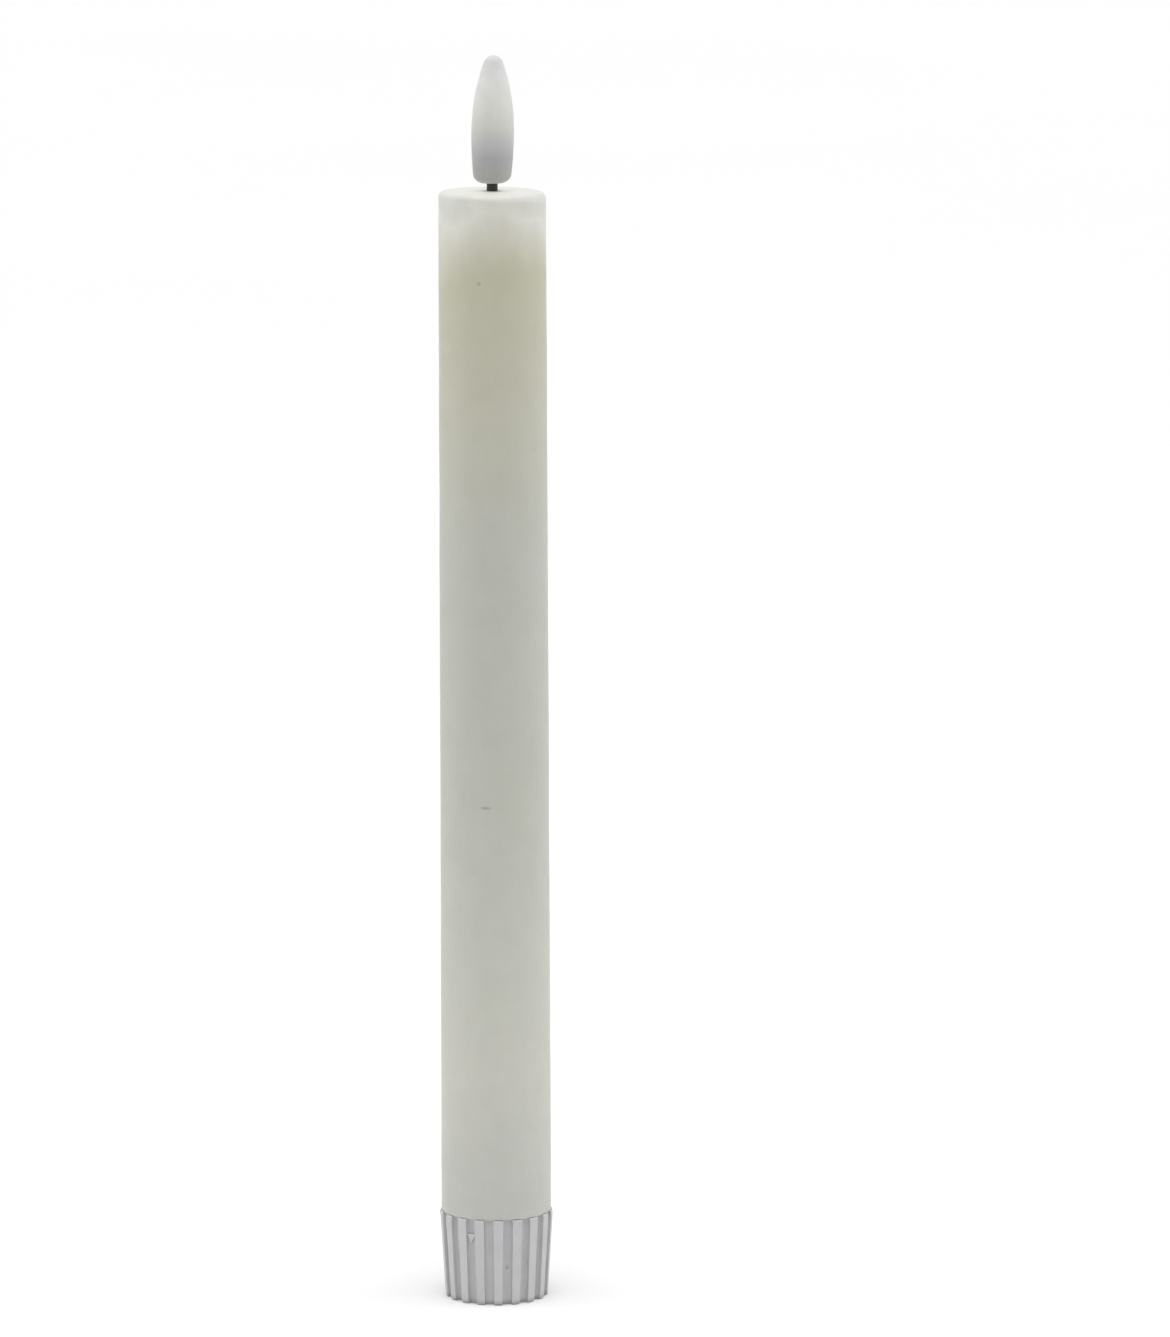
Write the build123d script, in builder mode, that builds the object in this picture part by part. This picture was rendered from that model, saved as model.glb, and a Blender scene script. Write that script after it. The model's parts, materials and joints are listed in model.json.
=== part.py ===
"""A flameless LED taper candle, in millimetres.

+Z is up and the origin is the centre of the foot's underside. The front of the candle faces -Y.
A ribbed foot screws into the bottom of a wax-covered tube. The tube holds two AA cells in line,
a timer board above them, and an LED in a frosted flame at the top. The foot carries the cells'
negative spring and a slide switch, which is worked from below.
"""

import os
from math import atan, degrees, pi, radians, tan

from build123d import *

# ---------------------------------------------------------------- driving dimensions
overall_height = 250.0
foot_height = 17.6

# AA cell, over its jacket
cell_radius = 7.15
can_height = 49.5
nub_radius = 2.7
nub_height = 1.0
can_edge_fillet = 0.5
nub_edge_fillet = 0.2
jacket_wall = 0.12
jacket_clearance = 0.03
jacket_lip = 0.8

# tube, sleeve and wax, from the cells outwards
cell_clearance = 0.15
sleeve_wall = 1.2
sleeve_clearance = 0.1
tube_wall = 1.1
tube_top_wall = 1.4
bond_gap = 0.03
wax_wall = 1.4
wax_draft = 0.42
wax_top_wall = 1.6
wax_edge_fillet = 1.3

# ribbed foot
rib_ledge = 0.3
foot_draft = 1.05
rib_count = 18
rib_depth = 1.0
rib_phase = 2.7
groove_width = 1.95
groove_fillet = 0.25
groove_cut_overrun = 5.0
foot_wall = 1.3
foot_floor = 2.8
foot_edge_chamfer = 0.35
rib_top_bevel_width = 0.25
rib_top_bevel_height = 0.6
rim_wall = 1.1
seam_gap = 0.1
recess_radius = 6.4
recess_depth = 1.2
mark_width = 2.1
mark_height = 1.7
mark_relief = 0.6
mark_sink = 0.2
mark_level = 13.7
dimple_width = 0.55
dimple_height = 0.95
dimple_depth = 0.4
dimple_level = 7.8

# threaded neck, whose three-start thread lets go within half a turn
insert_fit = 0.05
insert_depth = 5.0
deck_thickness = 1.2
flange_thickness = 1.2
neck_height = 7.2
neck_wall = 1.4
thread_starts = 3
thread_lead = 9.0
thread_offset = 1.3
neck_thread_end_gap = 1.0
tube_thread_end_gap = 0.3
thread_depth = 0.95
thread_clearance = 0.25
thread_root_width = 1.4
thread_crest_width = 0.6
thread_sink = 0.1

# sheet-metal contacts and the cells' spring
sheet = 0.3
ring_width = 1.05
ring_inset = 0.2
leg_width = 2.0
leg_clearance = 0.1
plate_clearance = 1.0
plate_margin = 0.35
spring_wire_radius = 0.35
spring_taper = 1.4
spring_turns = 5
cell_gap = 1.5
contact_gap = 0.05
strip_width = 3.0
strip_clearance = 0.15
channel_clearance = 0.05
sleeve_lift = 0.5
contact_thickness = 0.4
contact_radius = 4.5
contact_tab_width = 2.4
contact_tab_height = 9.0

# slide switch under its round board
post_radius = 1.6
post_gap = 0.85
board_thickness = 1.0
board_clearance = 0.3
screw_radius = 0.8
screw_head_radius = 1.7
screw_head_height = 1.1
screw_tip_gap = 0.4
screw_clearance = 0.05
screw_hole_clearance = 0.15
cross_width = 0.45
cross_length = 2.2
cross_depth = 0.6
frame_width = 3.8
frame_height = 3.6
frame_wall = 0.6
slider_length = 4.6
slider_height = 1.3
slider_clearance = 0.1
slider_end_gap = 0.4
knob_size = 1.8
knob_clearance = 0.2
knob_recess = 0.4
switch_travel = 2.0
wiper_length = 3.4
wiper_width = 1.6
wiper_thickness = 0.2
wiper_lift = 0.3
wiper_tip = 0.5
pin_pitch = 2.54
pin_width = 0.8
pin_thickness = 0.4
pin_stand_out = 1.0
pin_clearance = 0.1

# timer board and what is soldered to it
carrier_height = 5.6
carrier_slot_depth = 3.0
control_board_thickness = 1.2
control_board_field = 23.5
board_edge_wall = 0.4
slot_clearance = 0.1
holder_height = 4.0
holder_grip = 1.5
strip_reach = 10.0
solder_size = 1.2
chip_width = 4.0
chip_height = 5.0
chip_thickness = 1.5
chip_leg_length = 1.0
chip_leg_width = 0.45
chip_leg_thickness = 0.25
chip_leg_pitch = 1.27
chip_legs_per_side = 4
chip_x = -3.0
chip_level = 8.0
capacitor_radius = 2.5
capacitor_length = 7.0
capacitor_edge_fillet = 0.3
capacitor_vent_depth = 0.3
capacitor_x = 3.6
capacitor_level = 15.5
crystal_radius = 1.0
crystal_length = 6.0
crystal_edge_fillet = 0.25
crystal_x = -3.4
crystal_level = 16.5
resistor_width = 1.25
resistor_height = 2.0
resistor_thickness = 0.5
resistor_x = 2.4
resistor_pitch = 2.2
resistor_level = 8.5
driver_width = 1.3
driver_height = 2.9
driver_thickness = 1.1
driver_x = 3.5
driver_level = 3.5
component_gap = 0.02

# wick, LED and flame
wick_radius = 1.12
wick_bore = 0.75
wick_gap = 1.55
wick_fit = 0.05
plug_radius = 4.5
plug_height = 6.0
lead_side = 0.4
lead_spread = 0.45
lead_tail = 4.0
wire_radius = 0.45
wire_spread = 0.55
wire_hole_clearance = 0.15
wire_bend_share = 0.45
pad_spread = 1.6
pad_drop = 6.0
flame_height = 25.1
flame_heel_fillet = 2.0
flame_belly_radius = 4.23
flame_belly_level = 10.3
flame_crown_radius = 1.4
flame_crown_fillet = 1.9
flame_wall = 1.0
flame_cavity_crown = 1.0
flame_tip_wall = 5.4
flame_base_radius = 2.15
flame_base_thickness = 1.3
led_radius = 1.5
led_flange_radius = 1.9
led_flange_height = 1.0
led_height = 5.3
led_side_gap = 0.75

# ---------------------------------------------------------------- derived sizes
jacket_radius = cell_radius - jacket_wall
can_radius = jacket_radius - jacket_clearance
cell_height = can_height + nub_height
sleeve_inner_radius = cell_radius + cell_clearance
sleeve_outer_radius = sleeve_inner_radius + sleeve_wall
tube_inner_radius = sleeve_outer_radius + sleeve_clearance
tube_outer_radius = tube_inner_radius + tube_wall
wax_inner_radius = tube_outer_radius + bond_gap
wax_bottom_radius = tube_outer_radius + wax_wall
wax_top_radius = wax_bottom_radius - wax_draft

foot_top_radius = wax_bottom_radius + rib_ledge
foot_bottom_radius = foot_top_radius - foot_draft
groove_bottom_radius = foot_bottom_radius - rib_depth
draft_angle = degrees(atan(foot_draft / foot_height))
front = -90
first_rib = front + rib_phase
rib_pitch = 360 / rib_count
mark_angle = first_rib - 1.5 * rib_pitch
dimple_angle = first_rib + 0.5 * rib_pitch
cavity_radius = groove_bottom_radius - foot_wall
flange_radius = foot_top_radius - rib_depth - rim_wall

neck_root_radius = tube_inner_radius - thread_clearance - thread_depth
neck_inner_radius = neck_root_radius - neck_wall
neck_top = foot_height + neck_height
deck_bottom = foot_height - insert_depth
deck_top = deck_bottom + deck_thickness
thread_pitch = thread_lead / thread_starts
thread_angle = 180 / thread_starts
neck_thread_bottom = foot_height + thread_offset
neck_thread_top = neck_top - neck_thread_end_gap - thread_root_width / 2
tube_thread_bottom = neck_thread_bottom + thread_pitch / 2
ring_inner_radius = neck_root_radius - ring_inset - ring_width
ring_outer_radius = neck_root_radius - ring_inset
ring_top = neck_top + sheet
ring_leg_x = neck_inner_radius - ring_inset - sheet
plate_radius = neck_inner_radius - plate_clearance
plate_top = deck_top + sheet
plate_leg_x = -plate_radius

candle_bottom = foot_height + seam_gap
sleeve_bottom = ring_top + sleeve_lift
tube_thread_top = sleeve_bottom - tube_thread_end_gap - thread_root_width / 2
cells_bottom = ring_top + cell_gap
cells_top = cells_bottom + 2 * cell_height
carrier_bottom = cells_top + contact_thickness
carrier_top = carrier_bottom + carrier_height
board_bottom = carrier_top - carrier_slot_depth
board_top = carrier_top + control_board_field + holder_grip
board_face = control_board_thickness / 2
holder_bottom = board_top - holder_grip
strip_outer_x = sleeve_outer_radius - strip_clearance
strip_inner_x = strip_outer_x - sheet
strip_bottom = ring_top + contact_gap
strip_top = carrier_top + strip_reach
channel_x = strip_inner_x - channel_clearance
channel_width = strip_width + 2 * channel_clearance
control_board_width = 2 * (channel_x - board_edge_wall - slot_clearance)

frame_top = foot_floor + frame_height
switch_board_top = frame_top + board_thickness
switch_board_radius = cavity_radius - board_clearance
post_pitch_radius = cavity_radius - post_gap - post_radius
screw_length = frame_height + board_thickness - screw_tip_gap
frame_length = slider_length + switch_travel + 2 * (frame_wall + slider_end_gap)
slider_width = frame_width - 2 * (frame_wall + slider_clearance)
slider_bottom = foot_floor + frame_wall + slider_clearance
slider_top = slider_bottom + slider_height
slider_x = -switch_travel / 2
knob_slot_length = knob_size + switch_travel + 2 * knob_clearance
knob_slot_width = knob_size + 2 * knob_clearance
pin_bottom = slider_top + wiper_thickness + wiper_lift + pin_clearance
pin_top = switch_board_top + pin_stand_out

flame_bottom = overall_height - flame_height
flame_belly_z = flame_bottom + flame_belly_level
flame_heel_radius = led_flange_radius + led_side_gap + flame_wall
wax_top = flame_bottom - wick_gap
tube_top = wax_top - wax_top_wall
plug_top = tube_top - tube_top_wall
plug_bottom = plug_top - plug_height
leads_bottom = plug_bottom - lead_tail
led_bottom = flame_bottom + flame_base_thickness
wick_hole_radius = wick_radius + wick_fit
wire_bottom = board_top - pad_drop
wire_rise = leads_bottom - wire_bottom
wire_y = board_face + wire_radius

standing = (Align.CENTER, Align.CENTER, Align.MIN)
outward_from = (Align.MIN, Align.CENTER, Align.MIN)


def wall_plane(angle, radius, level):
    """A plane that faces outwards at a place on a round wall, with its own y axis up."""
    outward = Vector(1, 0, 0).rotate(Axis.Z, angle)
    centre = outward * radius + Vector(0, 0, level)
    return Plane(centre, x_dir=outward.rotate(Axis.Z, 90), z_dir=outward)


def groove_floor(level):
    """The radius of a groove's floor at a level of the foot."""
    return groove_bottom_radius + foot_draft * level / foot_height


def thread_ridge(root_radius, height, bottom, top):
    """One helical ridge that stands height out of a wall; a negative height stands inwards."""
    side = 1 if height > 0 else -1
    foot = root_radius - side * thread_sink
    crest = root_radius + height
    with BuildPart() as ridge:
        with BuildLine() as path:
            Helix(thread_lead, top - bottom, root_radius, center=(0, 0, bottom))
        with BuildSketch(Plane.XZ):
            with Locations((0, bottom)):
                Polygon(
                    (foot, -thread_root_width / 2),
                    (crest, -thread_crest_width / 2),
                    (crest, thread_crest_width / 2),
                    (foot, thread_root_width / 2),
                    align=None,
                )
        sweep(path=path.line, is_frenet=True)
    return ridge.part


def bend_radii(points):
    """For each inner point of a route, the largest arc that its two runs allow."""
    radii = []
    for before, here, after in zip(points, points[1:], points[2:]):
        run_in = Vector(*here) - Vector(*before)
        run_out = Vector(*after) - Vector(*here)
        half_turn = radians(run_in.get_angle(run_out)) / 2
        radii.append(wire_bend_share * min(run_in.length, run_out.length) / tan(half_turn))
    return radii


def wire(name, points):
    """A round wire that leaves its first point upwards and bends in an arc at each inner point."""
    radii = bend_radii(points)
    with BuildPart() as tube:
        with BuildLine() as route:
            FilletPolyline(*points, radius=radii)
        with BuildSketch(Plane(points[0])):
            Circle(wire_radius)
        sweep(path=route.line)
    length = sum(edge.length for edge in route.edges())
    filled = tube.part.volume / (pi * wire_radius**2 * length)
    print(f"{name}: {length:.1f} mm long, radii {[round(r) for r in radii]}, filled {filled:.4f}")
    return tube


os.makedirs("parts", exist_ok=True)

# ---------------------------------------------------------------- foot: ribbed shell
with BuildPart() as groove_cutter:
    Box(
        2 * rib_depth,
        groove_width,
        foot_height + 2 * groove_cut_overrun,
        align=(Align.MIN, Align.CENTER, Align.CENTER),
    )
    fillet(groove_cutter.edges().filter_by(Axis.Z).group_by(Axis.X)[0], groove_fillet)

with BuildPart() as foot_shell:
    with BuildSketch(Plane.XZ):
        Polygon(
            (0, 0),
            (foot_bottom_radius, 0),
            (foot_top_radius, foot_height),
            (0, foot_height),
            align=None,
        )
    revolve(axis=Axis.Z)
    chamfer(foot_shell.edges().filter_by(GeomType.CIRCLE).sort_by(Axis.Z)[0], foot_edge_chamfer)
    top_face = foot_shell.faces().sort_by(Axis.Z)[-1]
    chamfer(top_face.edges(), rib_top_bevel_width, rib_top_bevel_height, reference=top_face)
    with Locations((0, 0, foot_height / 2)):
        with PolarLocations(groove_floor(foot_height / 2), rib_count, dimple_angle):
            with Locations(Location((0, 0, 0), (0, draft_angle, 0))):
                add(groove_cutter.part, mode=Mode.SUBTRACT)
    # recess and slot for the switch knob
    with BuildSketch(Plane.XY):
        Circle(recess_radius)
    extrude(amount=recess_depth, mode=Mode.SUBTRACT)
    with BuildSketch(Plane.XY):
        Rectangle(knob_slot_length, knob_slot_width)
    extrude(amount=foot_floor, mode=Mode.SUBTRACT)
    # cavity, with a seat round its mouth for the neck's flange
    with BuildSketch(Plane.XY.offset(foot_floor)):
        Circle(cavity_radius)
    extrude(amount=foot_height - foot_floor, mode=Mode.SUBTRACT)
    with BuildSketch(Plane.XY.offset(foot_height - flange_thickness)):
        Circle(flange_radius + insert_fit)
    extrude(amount=flange_thickness, mode=Mode.SUBTRACT)
    # two posts that carry the switch board
    with BuildSketch(Plane.XY.offset(foot_floor)):
        with PolarLocations(post_pitch_radius, 2, front):
            Circle(post_radius)
            Circle(screw_radius + screw_clearance, mode=Mode.SUBTRACT)
    extrude(amount=frame_height)
    # moulded alignment arrow in one groove, and a gate dimple in another
    with BuildSketch(wall_plane(mark_angle, groove_floor(mark_level) - mark_sink, mark_level)):
        Polygon(
            (-mark_width / 2, mark_height / 2),
            (mark_width / 2, mark_height / 2),
            (0, -mark_height / 2),
            align=None,
        )
    extrude(amount=mark_relief + mark_sink)
    with BuildSketch(wall_plane(dimple_angle, groove_floor(dimple_level) - dimple_depth, dimple_level)):
        SlotOverall(dimple_height, dimple_width, rotation=90)
    extrude(amount=rib_depth, mode=Mode.SUBTRACT)
foot_shell.part.label = "foot_shell"
export_step(foot_shell.part, "parts/foot_shell.step")

# ---------------------------------------------------------------- foot: threaded neck
neck_ridge = thread_ridge(neck_root_radius, thread_depth, neck_thread_bottom, neck_thread_top)
leg_slots = ((plate_leg_x + sheet / 2, 0), (ring_leg_x + sheet / 2, 0))
with BuildPart() as neck_insert:
    with BuildSketch(Plane.XY.offset(deck_bottom)):
        Circle(cavity_radius - insert_fit)
    extrude(amount=insert_depth)
    with BuildSketch(Plane.XY.offset(foot_height - flange_thickness)):
        Circle(flange_radius)
    extrude(amount=flange_thickness)
    with BuildSketch(Plane.XY.offset(foot_height)):
        Circle(neck_root_radius)
    extrude(amount=neck_height)
    with BuildSketch(Plane.XY.offset(deck_top)):
        Circle(neck_inner_radius)
    extrude(amount=neck_top - deck_top, mode=Mode.SUBTRACT)
    with BuildSketch(Plane.XY.offset(deck_bottom)):
        with Locations(*leg_slots):
            Rectangle(sheet + 2 * leg_clearance, leg_width + 2 * leg_clearance)
    extrude(amount=deck_thickness, mode=Mode.SUBTRACT)
    with PolarLocations(0, thread_starts, thread_angle):
        add(neck_ridge)
neck_insert.part.label = "neck_insert"
export_step(neck_insert.part, "parts/neck_insert.step")

# ---------------------------------------------------------------- foot: contacts and spring
ring_tab_length = ring_inner_radius + ring_width / 2 - ring_leg_x
with BuildPart() as ring_contact:
    with BuildSketch(Plane.XY.offset(neck_top)):
        Circle(ring_outer_radius)
        Circle(ring_inner_radius, mode=Mode.SUBTRACT)
        with Locations((ring_leg_x, 0)):
            Rectangle(ring_tab_length, leg_width, align=(Align.MIN, Align.CENTER))
    extrude(amount=sheet)
    with Locations((ring_leg_x, 0, switch_board_top)):
        Box(sheet, leg_width, ring_top - switch_board_top, align=outward_from)
ring_contact.part.label = "ring_contact"
export_step(ring_contact.part, "parts/ring_contact.step")

with BuildPart() as spring_plate:
    with BuildSketch(Plane.XY.offset(deck_top)):
        Circle(plate_radius)
    extrude(amount=sheet)
    with Locations((plate_leg_x, 0, switch_board_top)):
        Box(sheet, leg_width, plate_top - switch_board_top, align=outward_from)
spring_plate.part.label = "spring_plate"
export_step(spring_plate.part, "parts/spring_plate.step")

coil_bottom = plate_top + contact_gap + spring_wire_radius
coil_height = cells_bottom - contact_gap - spring_wire_radius - coil_bottom
coil_taper = degrees(atan(-spring_taper / coil_height))
with BuildPart() as battery_spring:
    with BuildLine() as coil:
        Helix(
            coil_height / spring_turns,
            coil_height,
            plate_radius - plate_margin - spring_wire_radius,
            center=(0, 0, coil_bottom),
            cone_angle=coil_taper,
        )
    with BuildSketch(Plane(coil.line @ 0, z_dir=coil.line % 0)):
        Circle(spring_wire_radius)
    sweep(path=coil.line, is_frenet=True)
battery_spring.part.label = "battery_spring"
export_step(battery_spring.part, "parts/battery_spring.step")

# ---------------------------------------------------------------- foot: slide switch
pin_places = [(index * pin_pitch, 0) for index in (-1, 0, 1)]

with BuildPart() as switch_frame:
    with BuildSketch(Plane.XY.offset(foot_floor)):
        Rectangle(frame_length, frame_width)
    extrude(amount=frame_height)
    with BuildSketch(Plane.XY.offset(foot_floor + frame_wall)):
        Rectangle(frame_length - 2 * frame_wall, frame_width - 2 * frame_wall)
    extrude(amount=frame_height - frame_wall, mode=Mode.SUBTRACT)
    with BuildSketch(Plane.XY.offset(foot_floor)):
        Rectangle(knob_slot_length, knob_slot_width)
    extrude(amount=frame_wall, mode=Mode.SUBTRACT)
switch_frame.part.label = "switch_frame"
export_step(switch_frame.part, "parts/switch_frame.step")

with BuildPart() as switch_board:
    with BuildSketch(Plane.XY.offset(frame_top)):
        Circle(switch_board_radius)
        with PolarLocations(post_pitch_radius, 2, front):
            Circle(screw_radius + screw_hole_clearance, mode=Mode.SUBTRACT)
        with Locations(*pin_places):
            Rectangle(pin_width + 2 * pin_clearance, pin_thickness + 2 * pin_clearance, mode=Mode.SUBTRACT)
    extrude(amount=board_thickness)
switch_board.part.label = "switch_board"
export_step(switch_board.part, "parts/switch_board.step")

with BuildPart() as board_screws:
    with BuildSketch(Plane.XY.offset(switch_board_top)):
        with PolarLocations(post_pitch_radius, 2, front):
            Circle(screw_head_radius)
    extrude(amount=screw_head_height)
    with BuildSketch(Plane.XY.offset(switch_board_top)):
        with PolarLocations(post_pitch_radius, 2, front):
            Circle(screw_radius)
    extrude(amount=-screw_length)
    with BuildSketch(Plane.XY.offset(switch_board_top + screw_head_height)):
        with PolarLocations(post_pitch_radius, 2, front):
            Rectangle(cross_length, cross_width)
            Rectangle(cross_width, cross_length)
    extrude(amount=-cross_depth, mode=Mode.SUBTRACT)
board_screws.part.label = "board_screws"
export_step(board_screws.part, "parts/board_screws.step")

with BuildPart() as switch_pins:
    with Locations(*[(x, y, pin_bottom) for x, y in pin_places]):
        Box(pin_width, pin_thickness, pin_top - pin_bottom, align=standing)
switch_pins.part.label = "switch_pins"
export_step(switch_pins.part, "parts/switch_pins.step")

with BuildPart() as switch_slider:
    with Locations((slider_x, 0, slider_bottom)):
        Box(slider_length, slider_width, slider_height, align=standing)
    with Locations((slider_x, 0, knob_recess)):
        Box(knob_size, knob_size, slider_bottom - knob_recess, align=standing)
switch_slider.part.label = "switch_slider"
export_step(switch_slider.part, "parts/switch_slider.step")

half_wiper = wiper_length / 2
with BuildPart() as switch_wiper:
    with BuildSketch(Plane.XZ.offset(wiper_width / 2)):
        with Locations((slider_x, slider_top)):
            Polygon(
                (-half_wiper, wiper_lift),
                (wiper_tip - half_wiper, 0),
                (half_wiper - wiper_tip, 0),
                (half_wiper, wiper_lift),
                (half_wiper, wiper_lift + wiper_thickness),
                (half_wiper - wiper_tip, wiper_thickness),
                (wiper_tip - half_wiper, wiper_thickness),
                (-half_wiper, wiper_lift + wiper_thickness),
                align=None,
            )
    extrude(amount=-wiper_width)
switch_wiper.part.label = "switch_wiper"
export_step(switch_wiper.part, "parts/switch_wiper.step")

# solder that joins the two legs to the switch board, on the outer side of each leg
with BuildPart() as switch_solder:
    with BuildSketch(Plane.XZ.offset(leg_width / 2)):
        with Locations((ring_leg_x + sheet, switch_board_top)):
            Polygon((0, 0), (solder_size, 0), (0, solder_size), align=None)
        with Locations((plate_leg_x, switch_board_top)):
            Polygon((0, 0), (-solder_size, 0), (0, solder_size), align=None)
    extrude(amount=-leg_width)
switch_solder.part.label = "switch_solder"
export_step(switch_solder.part, "parts/switch_solder.step")

# ---------------------------------------------------------------- cells
for name, level in (("lower_cell", cells_bottom), ("upper_cell", cells_bottom + cell_height)):
    with BuildPart() as cell:
        with BuildSketch(Plane.XY.offset(level)):
            Circle(can_radius)
        extrude(amount=can_height)
        fillet(cell.edges().filter_by(GeomType.CIRCLE), can_edge_fillet)
        with BuildSketch(Plane.XY.offset(level + can_height)):
            Circle(nub_radius)
        extrude(amount=nub_height)
        fillet(cell.edges().filter_by(GeomType.CIRCLE).sort_by(Axis.Z)[-1], nub_edge_fillet)
    cell.part.label = name
    export_step(cell.part, f"parts/{name}.step")

    with BuildPart() as cell_jacket:
        with BuildSketch(Plane.XY.offset(level + jacket_lip)):
            Circle(cell_radius)
            Circle(jacket_radius, mode=Mode.SUBTRACT)
        extrude(amount=can_height - 2 * jacket_lip)
    cell_jacket.part.label = f"{name}_jacket"
    export_step(cell_jacket.part, f"parts/{name}_jacket.step")

# ---------------------------------------------------------------- candle: wax and tube
with BuildPart() as wax_shell:
    with BuildSketch(Plane.XZ):
        Polygon(
            (0, candle_bottom),
            (wax_bottom_radius, candle_bottom),
            (wax_top_radius, wax_top),
            (0, wax_top),
            align=None,
        )
    revolve(axis=Axis.Z)
    fillet(wax_shell.edges().filter_by(GeomType.CIRCLE).sort_by(Axis.Z)[-1], wax_edge_fillet)
    with BuildSketch(Plane.XY.offset(candle_bottom)):
        Circle(wax_inner_radius)
    extrude(amount=tube_top + bond_gap - candle_bottom, mode=Mode.SUBTRACT)
    with BuildSketch(Plane.XY.offset(tube_top)):
        Circle(wick_hole_radius)
    extrude(amount=wax_top - tube_top, mode=Mode.SUBTRACT)
wax_shell.part.label = "wax_shell"
export_step(wax_shell.part, "parts/wax_shell.step")

tube_ridge = thread_ridge(tube_inner_radius, -thread_depth, tube_thread_bottom, tube_thread_top)
with BuildPart() as core_tube:
    with BuildSketch(Plane.XY.offset(candle_bottom)):
        Circle(tube_outer_radius)
    extrude(amount=tube_top - candle_bottom)
    with BuildSketch(Plane.XY.offset(candle_bottom)):
        Circle(tube_inner_radius)
    extrude(amount=plug_top - candle_bottom, mode=Mode.SUBTRACT)
    with BuildSketch(Plane.XY.offset(plug_top)):
        Circle(wick_hole_radius)
    extrude(amount=tube_top_wall, mode=Mode.SUBTRACT)
    with PolarLocations(0, thread_starts, thread_angle):
        add(tube_ridge)
core_tube.part.label = "core_tube"
export_step(core_tube.part, "parts/core_tube.step")

# ---------------------------------------------------------------- candle: battery holder
with BuildPart() as battery_sleeve:
    with BuildSketch(Plane.XY.offset(sleeve_bottom)):
        Circle(sleeve_outer_radius)
        Circle(sleeve_inner_radius, mode=Mode.SUBTRACT)
        with Locations((channel_x, 0)):
            Rectangle(sleeve_wall, channel_width, align=(Align.MIN, Align.CENTER), mode=Mode.SUBTRACT)
    extrude(amount=carrier_bottom - sleeve_bottom)
battery_sleeve.part.label = "battery_sleeve"
export_step(battery_sleeve.part, "parts/battery_sleeve.step")

with BuildPart() as negative_strip:
    with Locations((strip_inner_x, 0, strip_bottom)):
        Box(sheet, strip_width, strip_top - strip_bottom, align=outward_from)
    with Locations((ring_inner_radius, 0, strip_bottom)):
        Box(strip_inner_x - ring_inner_radius, strip_width, sheet, align=outward_from)
negative_strip.part.label = "negative_strip"
export_step(negative_strip.part, "parts/negative_strip.step")

with BuildPart() as positive_contact:
    with BuildSketch(Plane.XY.offset(cells_top)):
        Circle(contact_radius)
    extrude(amount=contact_thickness)
    with Locations((0, board_face, cells_top)):
        Box(
            contact_tab_width,
            contact_thickness,
            contact_tab_height,
            align=(Align.CENTER, Align.MIN, Align.MIN),
        )
positive_contact.part.label = "positive_contact"
export_step(positive_contact.part, "parts/positive_contact.step")

with BuildPart() as contact_carrier:
    with BuildSketch(Plane.XY.offset(carrier_bottom)):
        Circle(sleeve_outer_radius)
        with Locations((channel_x, 0)):
            Rectangle(sleeve_wall, channel_width, align=(Align.MIN, Align.CENTER), mode=Mode.SUBTRACT)
        with Locations((0, board_face + contact_thickness / 2)):
            Rectangle(
                contact_tab_width + 2 * slot_clearance,
                contact_thickness + 2 * slot_clearance,
                mode=Mode.SUBTRACT,
            )
    extrude(amount=carrier_height)
    with BuildSketch(Plane.XY.offset(board_bottom)):
        Rectangle(control_board_width + 2 * slot_clearance, control_board_thickness + 2 * slot_clearance)
    extrude(amount=carrier_slot_depth, mode=Mode.SUBTRACT)
contact_carrier.part.label = "contact_carrier"
export_step(contact_carrier.part, "parts/contact_carrier.step")

# ---------------------------------------------------------------- candle: timer board
with BuildPart() as control_board:
    with Locations((0, 0, board_bottom)):
        Box(control_board_width, control_board_thickness, board_top - board_bottom, align=standing)
control_board.part.label = "control_board"
export_step(control_board.part, "parts/control_board.step")

front_face = -board_face - component_gap
on_front = (Align.CENTER, Align.MAX, Align.CENTER)

leg_run = chip_leg_pitch * (chip_legs_per_side - 1)
leg_levels = [index * chip_leg_pitch - leg_run / 2 for index in range(chip_legs_per_side)]
with BuildPart() as timer_chip:
    with Locations((chip_x, front_face, carrier_top + chip_level)):
        Box(chip_width, chip_thickness, chip_height, align=on_front)
        with Locations(*[(0, 0, level) for level in leg_levels]):
            Box(chip_width + 2 * chip_leg_length, chip_leg_thickness, chip_leg_width, align=on_front)
timer_chip.part.label = "timer_chip"
export_step(timer_chip.part, "parts/timer_chip.step")

with BuildPart() as capacitor:
    with Locations((capacitor_x, front_face - capacitor_radius, carrier_top + capacitor_level)):
        Cylinder(capacitor_radius, capacitor_length)
    fillet(capacitor.edges().filter_by(GeomType.CIRCLE), capacitor_edge_fillet)
    with Locations((capacitor_x, front_face - capacitor_radius, capacitor.part.bounding_box().max.Z)):
        Box(capacitor_radius, capacitor_vent_depth, 2 * capacitor_vent_depth, mode=Mode.SUBTRACT)
        Box(capacitor_vent_depth, capacitor_radius, 2 * capacitor_vent_depth, mode=Mode.SUBTRACT)
capacitor.part.label = "capacitor"
export_step(capacitor.part, "parts/capacitor.step")

with BuildPart() as crystal:
    with Locations((crystal_x, front_face - crystal_radius, carrier_top + crystal_level)):
        Cylinder(crystal_radius, crystal_length)
    fillet(crystal.edges().filter_by(GeomType.CIRCLE), crystal_edge_fillet)
crystal.part.label = "crystal"
export_step(crystal.part, "parts/crystal.step")

with BuildPart() as resistors:
    with Locations((resistor_x, front_face, carrier_top + resistor_level)):
        with Locations((0, 0, 0), (resistor_pitch, 0, 0)):
            Box(resistor_width, resistor_thickness, resistor_height, align=on_front)
resistors.part.label = "resistors"
export_step(resistors.part, "parts/resistors.step")

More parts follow.
